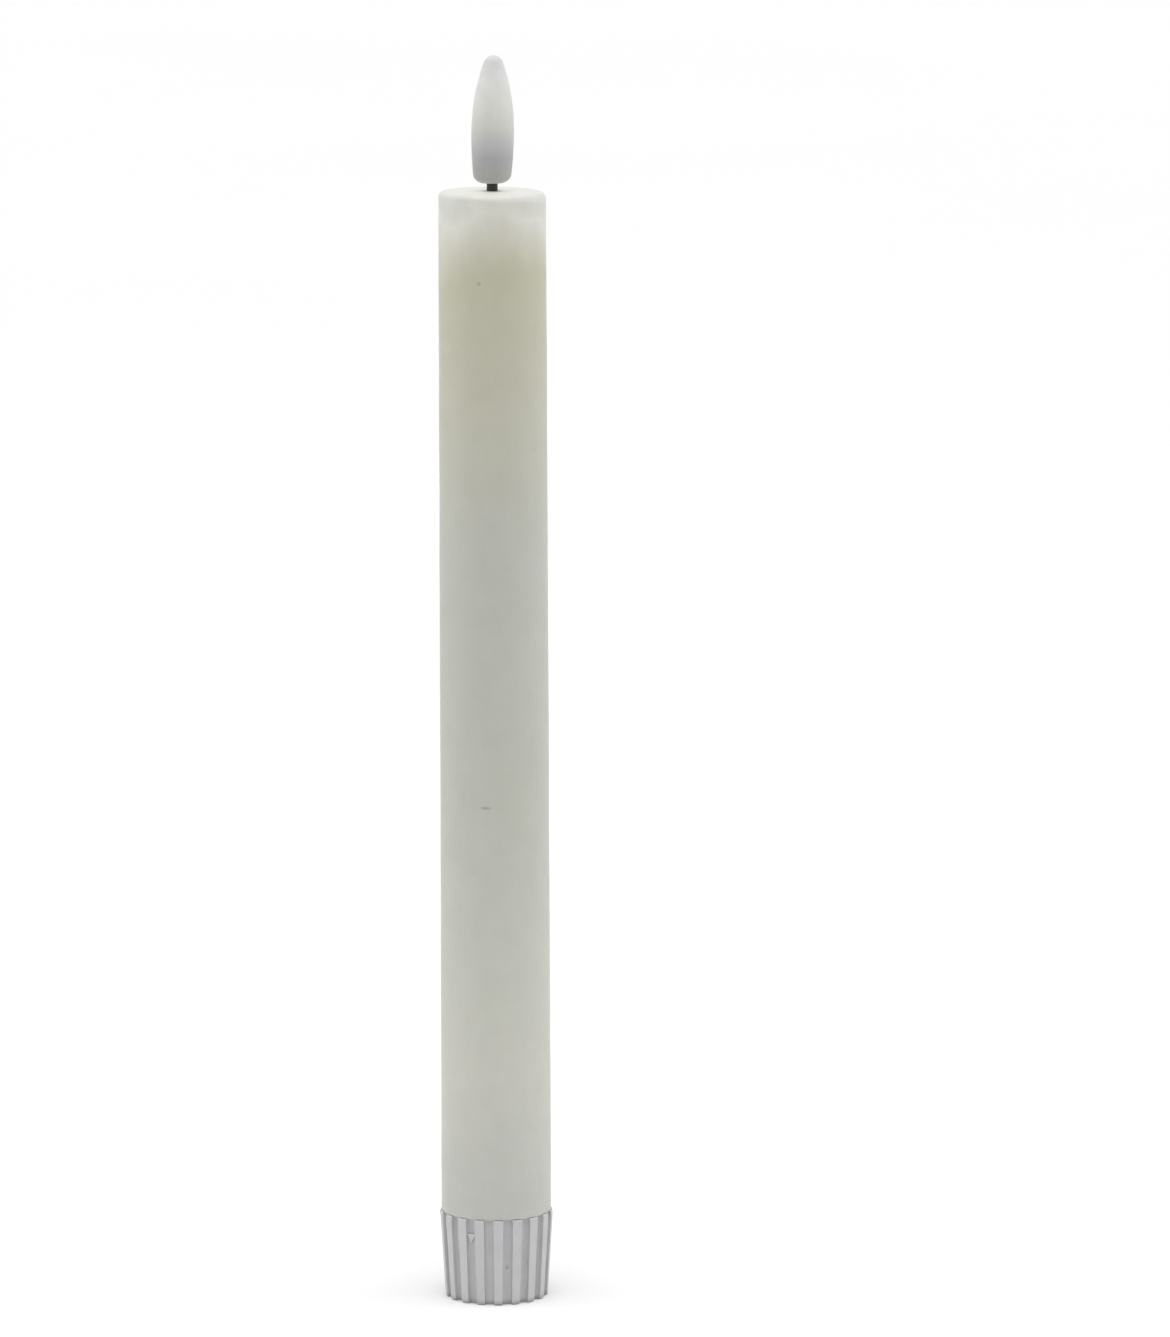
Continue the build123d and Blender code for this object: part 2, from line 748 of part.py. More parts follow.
with BuildPart() as led_driver:
    with Locations((driver_x, front_face, carrier_top + driver_level)):
        Box(driver_width, driver_thickness, driver_height, align=on_front)
        Box(2 * driver_width, chip_leg_thickness, chip_leg_width, align=on_front)
led_driver.part.label = "led_driver"
export_step(led_driver.part, "parts/led_driver.step")

# solder on the back face: one block under each wire, one over the contact's tab, and a fillet
# between the board's edge and the negative strip
with BuildPart() as board_solder:
    with Locations((-pad_spread, board_face, wire_bottom), (pad_spread, board_face, wire_bottom)):
        Box(solder_size, solder_size, solder_size, align=(Align.CENTER, Align.MIN, Align.MAX))
    with Locations((0, board_face, cells_top + contact_tab_height)):
        Box(
            contact_tab_width,
            contact_thickness,
            solder_size,
            align=(Align.CENTER, Align.MIN, Align.MIN),
        )
    with BuildSketch(Plane.XY.offset(strip_top)):
        with Locations((strip_inner_x, board_face)):
            Polygon((0, 0), (0, solder_size / 2), (-solder_size, 0), align=None)
    extrude(amount=-2 * solder_size)
board_solder.part.label = "board_solder"
export_step(board_solder.part, "parts/board_solder.step")

with BuildPart() as board_holder:
    with BuildSketch(Plane.XY.offset(holder_bottom)):
        Circle(sleeve_outer_radius)
        with Locations((-pad_spread, wire_y), (pad_spread, wire_y)):
            Circle(wire_radius + wire_hole_clearance, mode=Mode.SUBTRACT)
    extrude(amount=holder_height)
    with BuildSketch(Plane.XY.offset(holder_bottom)):
        Rectangle(control_board_width + 2 * slot_clearance, control_board_thickness + 2 * slot_clearance)
    extrude(amount=holder_grip, mode=Mode.SUBTRACT)
board_holder.part.label = "board_holder"
export_step(board_holder.part, "parts/board_holder.step")

# ---------------------------------------------------------------- candle: wires to the LED
red_wire = wire(
    "red_wire",
    [
        (pad_spread, wire_y, wire_bottom),
        (pad_spread, wire_y, wire_bottom + 0.28 * wire_rise),
        (pad_spread + 1.1, wire_y + 0.8, wire_bottom + 0.53 * wire_rise),
        (wire_spread, 0, wire_bottom + 0.78 * wire_rise),
        (wire_spread, 0, leads_bottom),
    ],
)
red_wire.part.label = "red_wire"
export_step(red_wire.part, "parts/red_wire.step")

black_wire = wire(
    "black_wire",
    [
        (-pad_spread, wire_y, wire_bottom),
        (-pad_spread, wire_y, wire_bottom + 0.29 * wire_rise),
        (-pad_spread - 0.7, wire_y - 1.6, wire_bottom + 0.5 * wire_rise),
        (-wire_spread, 0, wire_bottom + 0.76 * wire_rise),
        (-wire_spread, 0, leads_bottom),
    ],
)
black_wire.part.label = "black_wire"
export_step(black_wire.part, "parts/black_wire.step")

# ---------------------------------------------------------------- candle: wick
with BuildPart() as wick_plug:
    with BuildSketch(Plane.XY.offset(plug_bottom)):
        Circle(plug_radius)
        Circle(wick_hole_radius, mode=Mode.SUBTRACT)
    extrude(amount=plug_height)
wick_plug.part.label = "wick_plug"
export_step(wick_plug.part, "parts/wick_plug.step")

with BuildPart() as wick_sleeve:
    with BuildSketch(Plane.XY.offset(plug_bottom)):
        Circle(wick_radius)
        Circle(wick_bore, mode=Mode.SUBTRACT)
    extrude(amount=led_bottom - plug_bottom)
wick_sleeve.part.label = "wick_sleeve"
export_step(wick_sleeve.part, "parts/wick_sleeve.step")

# ---------------------------------------------------------------- candle: LED
with BuildPart() as led_lens:
    with BuildSketch(Plane.XY.offset(led_bottom)):
        Circle(led_flange_radius)
    extrude(amount=led_flange_height)
    with BuildSketch(Plane.XY.offset(led_bottom)):
        Circle(led_radius)
    extrude(amount=led_height - led_radius)
    with Locations((0, 0, led_bottom + led_height - led_radius)):
        Sphere(led_radius)
led_lens.part.label = "led_lens"
export_step(led_lens.part, "parts/led_lens.step")

with BuildPart() as led_leads:
    with Locations((-lead_spread, 0, leads_bottom), (lead_spread, 0, leads_bottom)):
        Box(lead_side, lead_side, led_bottom - leads_bottom, align=standing)
led_leads.part.label = "led_leads"
export_step(led_leads.part, "parts/led_leads.step")

# ---------------------------------------------------------------- candle: flame
cavity_bottom = flame_bottom + flame_wall
cavity_top = overall_height - flame_tip_wall
with BuildPart() as flame_shell:
    with BuildSketch(Plane.XZ) as outline:
        with BuildLine():
            belly = (flame_belly_radius, flame_belly_z)
            under = TangentArc(belly, (flame_heel_radius, flame_bottom), tangent=(0, -1))
            over = TangentArc(belly, (flame_crown_radius, overall_height), tangent=(0, 1))
            Polyline(over @ 1, (0, overall_height), (0, flame_bottom), under @ 1)
        make_face()
        fillet(outline.vertices().group_by(Axis.Y)[0].sort_by(Axis.X)[-1], flame_heel_fillet)
        fillet(outline.vertices().group_by(Axis.Y)[-1].sort_by(Axis.X)[-1], flame_crown_fillet)
    revolve(axis=Axis.Z)
    with BuildSketch(Plane.XZ) as cavity:
        with BuildLine():
            belly = (flame_belly_radius - flame_wall, flame_belly_z)
            under = TangentArc(belly, (flame_heel_radius - flame_wall, cavity_bottom), tangent=(0, -1))
            over = TangentArc(belly, (flame_cavity_crown, cavity_top), tangent=(0, 1))
            Polyline(over @ 1, (0, cavity_top), (0, cavity_bottom), under @ 1)
        make_face()
        fillet(cavity.vertices().group_by(Axis.Y)[0].sort_by(Axis.X)[-1], flame_heel_fillet - flame_wall)
    revolve(axis=Axis.Z, mode=Mode.SUBTRACT)
    with BuildSketch(Plane.XY.offset(flame_bottom)):
        Circle(flame_base_radius + wick_fit)
    extrude(amount=flame_base_thickness, mode=Mode.SUBTRACT)
flame_shell.part.label = "flame_shell"
export_step(flame_shell.part, "parts/flame_shell.step")

with BuildPart() as flame_base:
    with BuildSketch(Plane.XY.offset(flame_bottom)):
        Circle(flame_base_radius)
        Circle(wick_hole_radius, mode=Mode.SUBTRACT)
    extrude(amount=flame_base_thickness)
flame_base.part.label = "flame_base"
export_step(flame_base.part, "parts/flame_base.step")
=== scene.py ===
"""Looks for the flameless LED taper candle: finishes, the visible skins, floor, light and camera.

All lengths are in metres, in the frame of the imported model, with the candle standing at the
origin on z = 0 and its front facing -Y.
"""

import json
from math import atan2, cos, pi, radians, sin, sqrt

import bmesh
import bpy
from mathutils import Matrix, Vector, noise

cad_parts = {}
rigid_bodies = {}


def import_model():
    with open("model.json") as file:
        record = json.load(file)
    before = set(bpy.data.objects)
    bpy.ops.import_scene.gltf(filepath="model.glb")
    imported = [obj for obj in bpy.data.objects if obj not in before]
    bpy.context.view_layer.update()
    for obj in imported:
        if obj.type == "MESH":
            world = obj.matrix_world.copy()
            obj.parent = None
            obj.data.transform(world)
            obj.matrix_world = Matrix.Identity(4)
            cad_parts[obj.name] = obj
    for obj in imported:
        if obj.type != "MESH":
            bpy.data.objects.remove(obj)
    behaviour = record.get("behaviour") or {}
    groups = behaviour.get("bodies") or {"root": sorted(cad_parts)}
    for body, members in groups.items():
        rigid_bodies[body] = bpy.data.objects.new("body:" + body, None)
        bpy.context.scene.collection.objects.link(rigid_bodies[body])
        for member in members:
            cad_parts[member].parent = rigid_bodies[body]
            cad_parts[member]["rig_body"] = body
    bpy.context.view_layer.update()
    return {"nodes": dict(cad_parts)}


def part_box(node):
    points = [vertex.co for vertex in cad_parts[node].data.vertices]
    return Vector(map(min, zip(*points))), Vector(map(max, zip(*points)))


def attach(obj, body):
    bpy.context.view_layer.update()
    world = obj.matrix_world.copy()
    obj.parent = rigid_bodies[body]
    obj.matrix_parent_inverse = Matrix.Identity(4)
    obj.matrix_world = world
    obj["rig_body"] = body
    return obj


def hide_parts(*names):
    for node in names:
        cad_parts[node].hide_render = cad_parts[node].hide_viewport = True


MM = 0.001

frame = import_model()
nodes = frame["nodes"]

# ---------------------------------------------------------------- places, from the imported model
wax_low, wax_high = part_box("wax_shell")
tube_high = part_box("core_tube")[1]
wick_low, wick_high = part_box("wick_sleeve")
flame_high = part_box("flame_shell")[1]
flame_base_low, flame_base_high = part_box("flame_base")
led_low, led_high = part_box("led_lens")
foot_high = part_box("foot_shell")[1]
cell_low, cell_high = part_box("lower_cell")
capacitor_low, capacitor_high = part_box("capacitor")
resistors_low, resistors_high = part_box("resistors")

wax_radius = wax_high.x
wick_radius = wick_high.x
flame_bottom = flame_base_low.z
flame_top = flame_high.z
flame_radius = flame_high.x

# ---------------------------------------------------------------- sizes of the visible skins
# A pattern is where a skin's noise is read: on a circle of that radius, at that level.
bond_gap = 0.03 * MM
wick_fit = 0.05 * MM

wax_draft = 0.42 * MM
wax_edge_left = 1.05 * MM
wax_edge_right = 1.85 * MM
wax_edge_change = 0.35 * MM
wax_edge_points = 10
wax_edge_pattern = (2.1, 7.3)
wax_foot_edge = 0.05 * MM
wax_lump_size = 14 * MM
wax_lump_height = 0.055 * MM
wax_lump_roughness = 0.9
wax_lump_lacunarity = 2.1
wax_lump_octaves = 3
wax_ripple_size = 3.2 * MM
wax_ripple_height = 0.014 * MM
wax_ripple_shift = Vector((5.0, 1.0, 2.0))
wax_pattern_length = 0.55
wax_ring_spacing = 1.1 * MM
wax_top_sink = 0.10 * MM
wax_top_pattern = (1.0, 3.1)
wax_top_dish = 0.05 * MM
wax_top_wave = 0.05 * MM
wax_top_wave_size = 3 * MM
wax_top_rings = (0.85, 0.7, 0.55, 0.4, 0.25)
wax_bore_rings = 24
wax_segments = 160

wick_bore = 0.75 * MM
wick_wrinkle = 0.045 * MM
wick_wrinkle_length = 0.55 * MM
wick_pattern_radius = 1.3
wick_rings = 40
wick_segments = 48
wick_collar_height = 0.12 * MM
wick_collar_width = 0.75 * MM
# the collar of wax round the wick, as shares of its width, of the dish and of its height
wick_collar = ((1.0, 1.0, 0.0), (0.5, 0.8, 0.0), (0.2, 1.0, 0.45), (0.0, 1.0, 0.8))

flame_belly_level = 10.3 * MM
flame_crown_radius = 1.4 * MM
flame_crown_fillet = 1.9 * MM
flame_crown_points = 26
flame_heel_fillet = 2.0 * MM
flame_heel_points = 14
flame_side_gap = 0.75 * MM
flame_wall = 1.0 * MM
flame_tip_wall = 5.4 * MM
flame_wave = 0.05 * MM
flame_wave_length = 6 * MM
flame_pattern = (1.1, 4.2)
flame_lean = 0.015
flame_segments = 96
cavity_crown_radius = 1.0 * MM
cavity_crown_fillet = 0.8 * MM
cavity_crown_points = 14
cavity_heel_fillet = 1.0 * MM
cavity_heel_points = 8
cavity_points_over_hole = 9
fillet_points = 12

foot_edge = 0.3 * MM
knob_edge = 0.12 * MM

merge_distance = 0.0005 * MM
weld_distance = 0.002 * MM
flat_angle = 0.6
skin_crease = 40
flame_crease = 60
edge_angle = 28
edge_crease = 35

# ---------------------------------------------------------------- numbers the finishes share
noise_range = (0.3, 0.7)  # what most of a noise pattern keeps within


def tone(code):
    """A linear RGBA colour from a six-digit sRGB code."""
    parts = [int(code[i : i + 2], 16) / 255 for i in (0, 2, 4)]
    linear = [c / 12.92 if c <= 0.04045 else ((c + 0.055) / 1.055) ** 2.4 for c in parts]
    return tuple(linear) + (1.0,)


def shaded(colour, factor):
    return tuple(min(1.0, c * factor) for c in colour[:3]) + (1.0,)


def grey(value):
    return (value, value, value, 1.0)


def along_z(share):
    """A pattern's stretch: longer along the candle where share is under 1."""
    return (1, 1, share)


class Finish:
    """The node tree of one material, with short calls for the nodes that the finishes share."""

    def __init__(self, name):
        self.material = bpy.data.materials.new(name)
        self.material.use_nodes = True
        self.tree = self.material.node_tree
        self.shader = next(n for n in self.tree.nodes if n.type == "BSDF_PRINCIPLED")
        self.place = self.tree.nodes.new("ShaderNodeTexCoord").outputs["Object"]

    def feed(self, socket, value):
        """Links a socket to another one, or sets its constant value."""
        if isinstance(value, bpy.types.NodeSocket):
            self.tree.links.new(value, socket)
        else:
            socket.default_value = value

    def node(self, kind, inputs, **settings):
        made = self.tree.nodes.new("ShaderNode" + kind)
        for key, value in settings.items():
            setattr(made, key, value)
        for key, value in inputs.items():
            self.feed(made.inputs[key], value)
        return made

    def set(self, **inputs):
        """Feeds the shader's sockets, named with underscores for spaces."""
        for key, value in inputs.items():
            self.feed(self.shader.inputs[key.replace("_", " ")], value)

    def stretched(self, stretch):
        return self.node("Mapping", {"Vector": self.place, "Scale": stretch}).outputs["Vector"]

    def noise(self, size, detail=4.0, rough=0.55, stretch=(1, 1, 1)):
        """Noise from 0 to 1 whose features are about size metres across."""
        made = self.node(
            "TexNoise",
            {
                "Vector": self.stretched(stretch),
                "Scale": 1 / size,
                "Detail": detail,
                "Roughness": rough,
            },
        )
        return made.outputs["Fac"]

    def axis(self, name):
        return self.node("SeparateXYZ", {"Vector": self.place}).outputs[name]

    def span(self, value, low, high, to_low=0.0, to_high=1.0):
        made = self.node(
            "MapRange",
            {
                "Value": value,
                "From Min": low,
                "From Max": high,
                "To Min": to_low,
                "To Max": to_high,
            },
        )
        return made.outputs["Result"]

    def swing(self, pattern, low, high):
        """Takes a noise pattern to values from low to high."""
        return self.span(pattern, *noise_range, low, high)

    def varied(self, low, high, size, **pattern):
        """Noise between low and high."""
        return self.swing(self.noise(size, **pattern), low, high)

    def patches(self, strength, start, full, size, **pattern):
        """Noise that shows only where it is over start, and has its full strength from full on."""
        return self.span(self.noise(size, **pattern), start, full, 0.0, strength)

    def spots(self, size, reach, centre=1.0, between=0.0):
        """Scattered spots about size metres apart, each fading out at a share of that."""
        made = self.node(
            "TexVoronoi",
            {"Vector": self.stretched((1, 1, 1)), "Scale": 1 / size},
            feature="F1",
        )
        return self.span(made.outputs["Distance"], 0.0, reach, centre, between)

    def near(self, point, radius, stretch=(1, 1, 1)):
        """1 at a point, falling to 0 at a radius from it."""
        goal = tuple(p * s for p, s in zip(point, stretch))
        gap = self.node(
            "VectorMath", {0: self.stretched(stretch), 1: goal}, operation="DISTANCE"
        )
        return self.span(gap.outputs["Value"], 0.0, radius, 1.0, 0.0)

    def calc(self, operation, *values):
        return self.node("Math", dict(enumerate(values)), operation=operation).outputs["Value"]

    def ramp(self, value, stops):
        """A colour from stops of (position, sRGB code)."""
        made = self.node("ValToRGB", {"Fac": value})
        spots = made.color_ramp.elements
        while len(spots) < len(stops):
            spots.new(1.0)
        for spot, (position, code) in zip(spots, stops):
            spot.position = position
            spot.color = tone(code)
        return made.outputs["Color"]

    def mix(self, amount, first, second, blend="MIX"):
        """Of the Mix node's sockets, 0 is the factor, 6 and 7 take the colours and 2 gives one."""
        made = self.node(
            "Mix", {0: amount, 6: first, 7: second}, data_type="RGBA", blend_type=blend
        )
        return made.outputs[2]

    def bump(self, height, depth, under=None):
        inputs = {"Height": height, "Distance": depth, "Strength": 1.0}
        if under is not None:
            inputs["Normal"] = under
        return self.node("Bump", inputs).outputs["Normal"]

    def grain(self, depth, size, under=None, **pattern):
        """Bumps of noise."""
        return self.bump(self.noise(size, **pattern), depth, under)


def moulded(name, code, rough, spread=0.06, patch=6 * MM, skin=0.0):
    """Moulded plastic: faint cloudiness, an uneven sheen, a fine spark-eroded grain and scuffs."""
    f = Finish(name)
    colour = tone(code)
    scuff_tint, scuff_shade, scuff_dulling = 0.18, 0.72, 0.12
    smoother, rougher = 0.06, 0.08
    scuff = f.patches(
        1.0, start=0.60, full=0.72, size=patch / 5, detail=8.0, rough=0.7, stretch=along_z(0.35)
    )
    base = f.mix(f.noise(patch), shaded(colour, 1 - spread), shaded(colour, 1 + spread))
    sheen = f.varied(rough - smoother, rough + rougher, size=patch / 3)
    f.set(
        Base_Color=f.mix(f.calc("MULTIPLY", scuff, scuff_tint), base, shaded(colour, scuff_shade)),
        Roughness=f.calc("ADD", sheen, f.calc("MULTIPLY", scuff, scuff_dulling)),
        Normal=f.grain(depth=0.004 * MM, size=0.35 * MM, detail=2.0),
        IOR=1.5,
    )
    if skin:
        f.set(
            Subsurface_Weight=skin,
            Subsurface_Scale=1.2 * MM,
            Subsurface_Radius=(1.0, 0.9, 0.75),
        )
    return f


def metal(name, code, rough, stretch, line=0.12 * MM, depth=0.002 * MM):
    """Drawn or rolled metal: fine lines along its length, cloudy tarnish and small pits."""
    f = Finish(name)
    colour = tone(code)
    tarnish_strength, tarnish_shade, pit_strength = 0.12, 0.45, 0.10
    smoother, rougher = 0.05, 0.07
    lines = f.noise(line, detail=3.0, rough=0.6, stretch=stretch)
    tarnish = f.patches(tarnish_strength, start=0.35, full=0.75, size=3 * MM, detail=5.0, rough=0.6)
    pits = f.spots(0.9 * MM, reach=0.16)
    dull = f.calc("ADD", tarnish, f.calc("MULTIPLY", pits, pit_strength))
    sheen = f.swing(lines, rough - smoother, rough + rougher)
    f.set(
        Base_Color=f.mix(dull, colour, shaded(colour, tarnish_shade)),
        Metallic=1.0,
        Roughness=f.calc("ADD", sheen, dull),
        Normal=f.bump(lines, depth),
    )
    return f


def insulation(name, code):
    """Soft PVC wire cover: satin, with a faint long-wise drawing texture and dust."""
    f = Finish(name)
    dust_strength = 0.22
    dust = f.patches(1.0, start=0.55, full=0.75, size=1.2 * MM, detail=6.0)
    f.set(
        Base_Color=f.mix(f.calc("MULTIPLY", dust, dust_strength), tone(code), tone("b8b0a8")),
        Roughness=f.span(dust, 0.0, 1.0, to_low=0.38, to_high=0.62),
        Normal=f.grain(
            depth=0.003 * MM, size=0.18 * MM, detail=3.0, rough=0.5, stretch=along_z(0.2)
        ),
        IOR=1.52,
    )
    return f


# ---------------------------------------------------------------- finishes of the visible skins
# the wax's tone along its height; the pale stops from 0.955 up are a painted highlight on the rim,
# where it faces the overhead light
wax_tones_and_rim_highlight = (
    (0.00, "cbccc6"),
    (0.14, "d3d3ca"),
    (0.42, "c8cac0"),
    (0.66, "c6c7bf"),
    (0.80, "c9c8b8"),
    (0.92, "c7c6b0"),
    (0.955, "dad8ca"),
    (0.975, "e9e8de"),
    (0.99, "e0dfd7"),
    (1.00, "e2e2dd"),
)
wax_colour_drift = 3.5 * MM
wax_cloud_dark = (0.955, 0.955, 0.95, 1)
wax_cloud_pale = grey(1.0)
# the specks on the front: x, z, radius and stretch
wax_specks = (
    (-2.6 * MM, 206.0 * MM, 0.55 * MM, (1, 0.2, 1)),
    (-1.7 * MM, 101.6 * MM, 0.62 * MM, (0.45, 0.2, 1.5)),
    (7.1 * MM, 38.6 * MM, 0.4 * MM, (1, 0.2, 1)),
)
wax_speck_strength = 0.62

# the frosted shell's white with painted light and shade along its height: painted shade greying the
# heel and the band round the LED, a painted highlight brightening it towards the tip
flame_tones_with_painted_light_and_shade = (
    (0.00, "b6b6b3"),
    (0.10, "b3b3b1"),
    (0.20, "b2b3b4"),
    (0.30, "c2c3c2"),
    (0.44, "d5d6cf"),
    (0.62, "e2e3dd"),
    (0.82, "e6e7e4"),
    (1.00, "d9d8db"),
)

foot_taper = 1.05 * MM
# painted shade in the grooves: the depths under the ribs' outline over which it fades in
foot_groove_shade_depths = (0.35 * MM, 1.0 * MM)
# painted contact shade darkening the foot's bottom rim: its height and strength
foot_contact_shade_height = 1.1 * MM
foot_contact_shade_strength = 0.75


def wax_finish():
    """Ivory wax: warmer where the coat is thick under the rim, paler at the rim as a painted
    highlight, faint mottling.
    """
    f = Finish("wax")
    drift = f.varied(
        -wax_colour_drift, wax_colour_drift, 16 * MM, detail=3.0, rough=0.5, stretch=along_z(0.6)
    )
    level = f.span(f.calc("ADD", f.axis("Z"), drift), wax_low.z, wax_high.z)
    # the wax's tone along its height, with a painted highlight at the rim
    body = f.ramp(level, wax_tones_and_rim_highlight)
    cloud = f.varied(0.0, 1.0, 5 * MM, detail=6.0, rough=0.62, stretch=along_z(0.8))
    body = f.mix(1.0, body, f.mix(cloud, wax_cloud_dark, wax_cloud_pale), "MULTIPLY")
    streaks = f.patches(
        0.10, start=0.52, full=0.72, size=1.1 * MM, rough=0.6, stretch=along_z(0.25)
    )
    body = f.mix(streaks, body, tone("c9c8bc"))
    grains = f.spots(4.6 * MM, reach=0.05, centre=0.42)
    body = f.mix(grains, body, tone("8f8d80"))
    for x, z, radius, stretch in wax_specks:
        speck = f.near((x, -wax_radius, z), radius, stretch)
        body = f.mix(f.calc("MULTIPLY", speck, wax_speck_strength), body, tone("77756a"))
    pits = f.bump(f.spots(1.9 * MM, reach=0.14, centre=0.0, between=1.0), 0.05 * MM)
    fine = f.grain(
        depth=0.06 * MM, size=0.5 * MM, under=pits, rough=0.62, stretch=along_z(0.7)
    )
    f.set(
        Base_Color=body,
        Roughness=f.varied(0.40, 0.56, size=2.4 * MM, detail=5.0),
        Normal=f.grain(depth=0.17 * MM, size=3.4 * MM, under=fine, stretch=along_z(0.6)),
        IOR=1.44,
        Subsurface_Weight=0.45,
        Subsurface_Scale=2.2 * MM,
        Subsurface_Radius=(1.0, 0.92, 0.72),
    )
    return f


def flame_finish():
    """Frosted white plastic, with painted light and shade along its height: a painted highlight
    towards the solid tip, painted shade greying it at the heel and round the LED inside.
    """
    f = Finish("flame_frosted")
    # painted light and shade along the height: greyer at the heel and round the LED, brighter
    # towards the tip
    body = f.ramp(f.span(f.axis("Z"), flame_bottom, flame_top), flame_tones_with_painted_light_and_shade)
    cloud = f.varied(0.955, 1.0, size=2.2 * MM)
    cloudy = f.node("CombineColor", {"Red": cloud, "Green": cloud, "Blue": cloud})
    f.set(
        Base_Color=f.mix(1.0, body, cloudy.outputs["Color"], "MULTIPLY"),
        Roughness=f.varied(0.50, 0.66, size=0.9 * MM),
        Normal=f.grain(depth=0.02 * MM, size=0.2 * MM, detail=3.0, rough=0.6),
        IOR=1.49,
        Subsurface_Weight=0.55,
        Subsurface_Scale=1.3 * MM,
        Subsurface_Radius=(1.0, 1.0, 1.0),
    )
    return f


def foot_finish():
    """White moulded ABS with soft grain and rub on the ribs, painted shade in the grooves broken up
    with dust, and painted contact shade darkening the bottom rim.
    """
    f = Finish("foot_plastic")
    body = f.mix(f.varied(0.0, 1.0, size=5 * MM), tone("c8c8c9"), tone("cfcfd0"))
    x, y, height = f.axis("X"), f.axis("Y"), f.axis("Z")
    out = f.calc("SQRT", f.calc("ADD", f.calc("MULTIPLY", x, x), f.calc("MULTIPLY", y, y)))
    ribs_out = f.span(height, 0.0, foot_high.z, foot_high.x - foot_taper, foot_high.x)
    # painted shade darkening the grooves, broken up by a dust-like noise
    groove_shade = f.span(f.calc("SUBTRACT", ribs_out, out), *foot_groove_shade_depths)
    dust = f.noise(1.4 * MM, detail=6.0, rough=0.65)
    dust = f.span(dust, 0.3, 0.75, to_low=0.08, to_high=0.3)
    body = f.mix(f.calc("MULTIPLY", groove_shade, dust), body, tone("b8b8ba"))
    rub = f.patches(
        0.22, start=0.58, full=0.74, size=0.8 * MM, detail=6.0, rough=0.7, stretch=along_z(0.3)
    )
    body = f.mix(rub, body, tone("c0c0c3"))
    # painted contact shade, darkest at the bottom edge where the foot meets the floor
    contact_shade = f.span(height, 0.0, foot_contact_shade_height, foot_contact_shade_strength, 0.0)
    f.set(
        Base_Color=f.mix(contact_shade, body, tone("8b8b88")),
        Roughness=f.varied(0.36, 0.52, size=1.8 * MM, detail=5.0),
        Normal=f.grain(depth=0.025 * MM, size=0.3 * MM, detail=3.0, rough=0.6),
        IOR=1.53,
        Subsurface_Weight=0.12,
        Subsurface_Scale=0.8 * MM,
    )
    return f


def wick_finish():
    """Black heat-shrink: satin, with fine wrinkles round it and a dusting of wax."""
    f = Finish("wick_black")
    wax_dust = f.patches(0.30, start=0.60, full=0.80, size=0.5 * MM, detail=6.0, rough=0.7)
    f.set(
        Base_Color=f.mix(wax_dust, tone("1c1b1b"), tone("56524e")),
        Roughness=f.varied(0.42, 0.62, size=0.7 * MM),
        Normal=f.grain(depth=0.02 * MM, size=0.22 * MM, rough=0.6, stretch=(0.4, 0.4, 1.6)),
        IOR=1.5,
    )
    return f


# ---------------------------------------------------------------- finishes of the inner pieces
jacket_colours = (
    (0.000, "3c5566"),
    (0.700, "3f596b"),
    (0.702, "c9cdcf"),
    (0.760, "c9cdcf"),
    (0.762, "6f8796"),
    (1.000, "758d9c"),
)
jacket_wear = 0.35
capacitor_stripe_edge = (0.70 * MM, 0.75 * MM)
capacitor_stripe_depth = 0.2 * MM
capacitor_bare_edge = (0.25 * MM, 0.20 * MM)
resistor_end_edge = (0.35 * MM, 0.30 * MM)
led_heart_height = 1.9 * MM
led_heart_radius = 2.4 * MM
flux_strength = 0.5


def board_finish():
    """Circuit board: green mask over glass weave, with raised copper tracks under it."""
    f = Finish("circuit_board")
    track_strength = 0.7
    tracks = f.node(
        "TexBrick",
        {
            "Vector": f.stretched((1, 1, 1)),
            "Scale": 420.0,
            "Mortar Size": 0.05,
            "Mortar Smooth": 0.2,
            "Brick Width": 0.9,
            "Row Height": 0.42,
        },
    ).outputs["Fac"]
    weave = f.noise(0.25 * MM, detail=2.0, rough=0.5)
    mask = f.mix(f.noise(4 * MM), tone("1f5a38"), tone("27693f"))
    f.set(
        Base_Color=f.mix(f.calc("MULTIPLY", tracks, track_strength), mask, tone("4d9160")),
        Roughness=f.swing(weave, 0.26, 0.42),
        Normal=f.bump(tracks, 0.03 * MM, f.bump(weave, 0.003 * MM)),
        Coat_Weight=0.3,
        Coat_Roughness=0.2,
    )
    return f


def chip_finish():
    """Moulded epoxy of a chip's body, with a fine grit."""
    f = Finish("chip_black")
    grit = f.noise(0.1 * MM, detail=3.0, rough=0.7)
    f.set(
        Base_Color=f.mix(f.span(grit, 0.5, 0.75), tone("1d1d1f"), tone("38383b")),
        Roughness=f.swing(grit, 0.5, 0.72),
        Normal=f.bump(grit, 0.006 * MM),
    )
    return f


def jacket_finish():
    """Printed plastic sleeve of a cell: a plain grey-blue field with one pale band at its top."""
    f = Finish("cell_jacket")
    length = cell_high.z - cell_low.z
    along = f.calc("MODULO", f.calc("SUBTRACT", f.axis("Z"), cell_low.z), length)
    field = f.ramp(f.calc("DIVIDE", along, length), jacket_colours)
    wear = f.patches(
        jacket_wear,
        start=0.58,
        full=0.72,
        size=2.5 * MM,
        detail=7.0,
        rough=0.7,
        stretch=along_z(0.4),
    )
    f.set(
        Base_Color=f.mix(wear, field, tone("9aa2a6")),
        Metallic=0.25,
        Roughness=f.span(wear, 0.0, jacket_wear, 0.24, 0.46),
        Normal=f.grain(depth=0.006 * MM, size=0.6 * MM),
        Coat_Weight=0.35,
        Coat_Roughness=0.12,
    )
    return f


